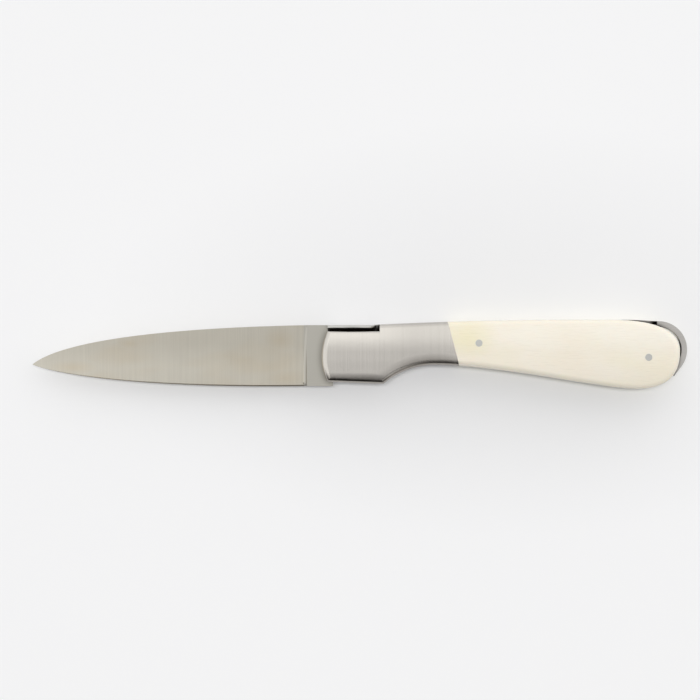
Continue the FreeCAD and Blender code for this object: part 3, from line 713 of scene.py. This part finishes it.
def ribbon(bm, points, width):
    """A flat stroke of even width through points on the XZ plane."""
    edge = None
    for index, spot in enumerate(points):
        before = points[max(index - 1, 0)]
        after = points[min(index + 1, len(points) - 1)]
        heading = (after - before).normalized()
        aside = Vector((-heading.z, 0, heading.x)) * (width / 2)
        if edge is None:
            ends = [bm.verts.new(spot + aside), bm.verts.new(spot - aside)]
            edge = bm.edges.new(ends)
        else:
            grown = bmesh.ops.extrude_edge_only(bm, edges=[edge])["geom"]
            edge = next(item for item in grown if isinstance(item, bmesh.types.BMEdge))
            ends = [grown_from(end, edge) for end in ends]
            ends[0].co = spot + aside
            ends[1].co = spot - aside


def leaf(base, lean, size, width):
    """The outline of an almond leaf that grows from a point of the stem."""
    steps = 14
    ahead = Vector((math.cos(lean), 0, math.sin(lean)))
    beside = Vector((-math.sin(lean), 0, math.cos(lean)))
    points = []
    for index in range(2 * steps + 1):
        turn = index / steps
        reach = turn if turn <= 1 else 2 - turn
        aside = math.sin(math.pi * reach) * width / 2
        if turn > 1:
            aside = -aside
        points.append(base + ahead * reach * size + beside * aside)
    return points


def sprig(detail):
    """The engraved sprig: a bowed stem with pairs of leaves and one at its end."""
    steps = 24
    middle = Vector(((PLATE_LOW.x + PLATE_HIGH.x) / 2, PLATE_HIGH.y, MIDDLE_Z))
    reach = (PLATE_HIGH.x - PLATE_LOW.x) * STEM_SHARE
    bow = (PLATE_HIGH.z - PLATE_LOW.z) * BOW_SHARE

    def stem(turn):
        """A point of the stem, from its foot at 0 to its end at 1."""
        return middle + Vector(((2 * turn - 1) * reach, 0, bow * math.cos(2 * math.pi * turn)))

    strokes = [[stem(index / steps) for index in range(steps + 1)]]
    for pair in range(detail.leaf_pairs):
        base = stem((pair + FIRST_LEAF) / (detail.leaf_pairs + LAST_LEAF_ROOM))
        size = 1 - LEAF_TAPER * pair
        for side in (1, -1):
            strokes.append(leaf(base, side * LEAF_LEAN, size * detail.leaf_length, size * detail.leaf_width))
    end_length, end_width = END_LEAF_LENGTH * detail.leaf_length, END_LEAF_WIDTH * detail.leaf_width
    strokes.append(leaf(stem(1), 0, end_length, end_width))
    return strokes


def engraving_black(recess_shade_and_engraving):
    """The dark of the engraved strokes."""
    grime_size, paler = 0.4 * MM, 3
    finish = Finish("engraving_black")
    grime = finish.noise(even(grime_size), detail=3.0)
    tone = finish.mix(grime, recess_shade_and_engraving, scaled(recess_shade_and_engraving, paler))
    return finish.set(base_color=tone, roughness=finish.remap(grime, 0.3, 0.7, 0.5, 0.8))


class KNIFE_OT_plate(bpy.types.Operator):
    """Finish the oval head plate and engrave a leaf sprig in it"""

    bl_idname = "pocket_knife.plate"
    bl_label = "Head plate"

    def execute(self, context):
        steel = context.scene.knife_steel
        detail = context.scene.knife_detail
        grain = even(steel.plate_grain)
        finish = ground_steel("plate_steel", steel.plate, grain, roughness=0.3, contrast=0.05)
        dress(finish, "head_plate")
        bm = bmesh.new()
        for stroke in sprig(detail):
            ribbon(bm, stroke, detail.stroke_width)
        bmesh.ops.translate(bm, verts=bm.verts, vec=(0, detail.stroke_proud, 0))
        thicken(bm, (0, -detail.stroke_depth, 0))
        new_piece("plate_engraving", bm, engraving_black(steel.recess_shade_and_engraving), "handle")
        return {"FINISHED"}


class KNIFE_OT_washers(bpy.types.Operator):
    """Finish the bronze washers beside the tang"""

    bl_idname = "pocket_knife.washers"
    bl_label = "Washers"

    def execute(self, context):
        steel = context.scene.knife_steel
        finish = Finish("washer_bronze")
        rubbed = finish.noise((1.2 * MM, 0.2 * MM, 1.2 * MM), detail=3.0)
        tone = finish.mix(rubbed, steel.bronze, steel.bronze_rubbed)
        gloss = finish.remap(rubbed, 0.3, 0.7, 0.25, 0.45)
        dress(finish.set(base_color=tone, metallic=1.0, roughness=gloss), "left_washer", "right_washer")
        return {"FINISHED"}


def stage_sheet(name, width, depth, material):
    """A flat sheet of the stage, centred on the origin."""
    bm = bmesh.new()
    bmesh.ops.create_grid(bm, x_segments=2, y_segments=2, size=0.5)
    bmesh.ops.scale(bm, verts=bm.verts, vec=(width, depth, 1))
    sheet = object_of(name, bm, material)
    return sheet


def lay_table(stage):
    """The white table, with painted shade round the handle."""
    speckle_size, speckle_share = 8 * MM, 0.04
    finish = Finish("table_white")
    # Painted shade on the table round the handle
    near = finish.ball(Vector((PIVOT.x, PIVOT.y, 0)) + Vector(stage.near_shade_place), stage.near_shade_size)
    tone = finish.mix(near, stage.floor, stage.floor_shade_and_speckle)
    speckle = finish.remap(finish.noise(even(speckle_size)), 0.0, 1.0, 0.0, speckle_share)
    tone = finish.mix(speckle, tone, stage.floor_shade_and_speckle)
    white = finish.set(base_color=tone, roughness=0.7, specular_ior_level=0.0)
    table = stage_sheet("table", stage.table_size, stage.table_size, white)
    table.location.z = CAD_BOX[0].z


def hang_card(stage):
    """The dark card in front, which shows in reflections alone."""
    weave_size = 2 * MM
    finish = Finish("flag_black")
    weave = finish.noise(even(weave_size))
    dark = finish.mix(weave, stage.card, stage.card_weave)
    start, end = stage.card_fade_start, stage.card_fade_end
    fade = finish.remap(finish.axis("Y"), start, end, 0.0, stage.card_fade)
    black = finish.set(base_color=finish.mix(fade, dark, stage.floor), roughness=0.9)
    card = stage_sheet("shade_card", stage.card_width, stage.card_depth, black)
    card.location = stage.card_place
    card.rotation_euler = (stage.card_turn, 0, 0)
    card.visible_camera = False
    card.visible_diffuse = False
    card.visible_shadow = False


def light_tent(stage):
    """The light all round: a tent with an opening on top for what mirrors it, a soft glow for the rest."""
    world = bpy.data.worlds.new("light_tent")
    world.use_nodes = True
    light = Shading(world.node_tree)
    sight = light.node("ShaderNodeTexCoord").outputs["Generated"]
    lean = light.node("ShaderNodeMapping", {"Vector": sight, "Rotation": (stage.tent_turn, 0, 0)})
    height = light.part(lean.outputs["Vector"], "Z")
    walls = light.mix(light.remap(height, 0.0, FOOT_END), stage.tent_foot, stage.tent_wall)
    tent = light.mix(light.remap(height, OPENING_START, OPENING_END), walls, stage.tent_top)
    swing = light.node("ShaderNodeMapping", {"Vector": sight, "Rotation": (0, 0, stage.glow_turn)})
    behind = light.part(swing.outputs["Vector"], "Y")
    glow = light.remap(behind, 0.0, 1.0, stage.fill_light, stage.back_light)
    ray = light.node("ShaderNodeLightPath").outputs
    seen = light.maths("MAXIMUM", ray["Is Camera Ray"], ray["Is Glossy Ray"])
    seen = light.maths("MAXIMUM", seen, ray["Is Transmission Ray"])
    background = world.node_tree.nodes["Background"]
    light.feed(background.inputs["Color"], light.mix(seen, stage.glow, tent))
    light.feed(background.inputs["Strength"], light.lerp(seen, glow, stage.tent_light))
    return world


def soft_lamp(name, spot, width, depth, power):
    """A soft box that looks at the origin."""
    lamp = bpy.data.lights.new(name, "AREA")
    lamp.shape = "RECTANGLE"
    lamp.size = width
    lamp.size_y = depth
    lamp.energy = power
    box = bpy.data.objects.new(name, lamp)
    box.location = spot
    box.rotation_euler = (-Vector(spot)).to_track_quat("-Z", "Y").to_euler()
    box.visible_camera = False
    bpy.context.scene.collection.objects.link(box)
    return box


def picture_camera(stage):
    """A camera straight above the knife."""
    eye = bpy.data.cameras.new("camera")
    eye.lens = stage.lens / MM
    eye.sensor_width = stage.sensor / MM
    camera = bpy.data.objects.new("camera", eye)
    distance = stage.picture_width * stage.lens / stage.sensor
    camera.location = PIVOT + Vector((stage.picture_x, stage.picture_y, distance))
    bpy.context.scene.collection.objects.link(camera)
    return camera


class KNIFE_OT_stage(bpy.types.Operator):
    """Set up the table, the shade card, the light tent, two soft lamps and the camera"""

    bl_idname = "pocket_knife.stage"
    bl_label = "Stage"

    def execute(self, context):
        scene = context.scene
        stage = scene.knife_stage
        scene.view_settings.view_transform = "Standard"
        lay_table(stage)
        hang_card(stage)
        scene.world = light_tent(stage)
        soft_lamp("back_lamp", stage.back_place, stage.back_width, stage.back_depth, stage.back_power)
        top_lamp = soft_lamp("top_lamp", stage.top_place, stage.top_width, stage.top_depth, stage.top_power)
        top_lamp.visible_glossy = False
        scene.camera = picture_camera(stage)
        return {"FINISHED"}


PIECE_OPERATORS = (
    KNIFE_OT_blade,
    KNIFE_OT_bolsters,
    KNIFE_OT_scales,
    KNIFE_OT_pins,
    KNIFE_OT_spring,
    KNIFE_OT_plate,
    KNIFE_OT_washers,
    KNIFE_OT_stage,
)


class KNIFE_PT_panel(bpy.types.Panel):
    """Lists the knife's pieces and its stage"""

    bl_label = "Pocket Knife"
    bl_space_type = "VIEW_3D"
    bl_region_type = "UI"
    bl_category = "Pocket Knife"

    def draw(self, context):
        for operator in PIECE_OPERATORS:
            self.layout.operator(operator.bl_idname)


SETTINGS = {
    "knife_steel": KnifeSteelSettings,
    "knife_bone": KnifeBoneSettings,
    "knife_detail": KnifeDetailSettings,
    "knife_stage": KnifeStageSettings,
}
CLASSES = (*SETTINGS.values(), *PIECE_OPERATORS, KNIFE_PT_panel)


def register():
    """Registers the add-on's classes and its settings."""
    for cls in CLASSES:
        bpy.utils.register_class(cls)
    for name, group in SETTINGS.items():
        setattr(bpy.types.Scene, name, PointerProperty(type=group))


def unregister():
    """Takes the settings and the classes away again."""
    for name in SETTINGS:
        delattr(bpy.types.Scene, name)
    for cls in reversed(CLASSES):
        bpy.utils.unregister_class(cls)


def main():
    """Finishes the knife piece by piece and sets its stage."""
    register()
    bpy.ops.pocket_knife.blade()
    bpy.ops.pocket_knife.bolsters()
    bpy.ops.pocket_knife.scales()
    bpy.ops.pocket_knife.pins()
    bpy.ops.pocket_knife.spring()
    bpy.ops.pocket_knife.plate()
    bpy.ops.pocket_knife.washers()
    bpy.ops.pocket_knife.stage()


if __name__ == "__main__":
    main()
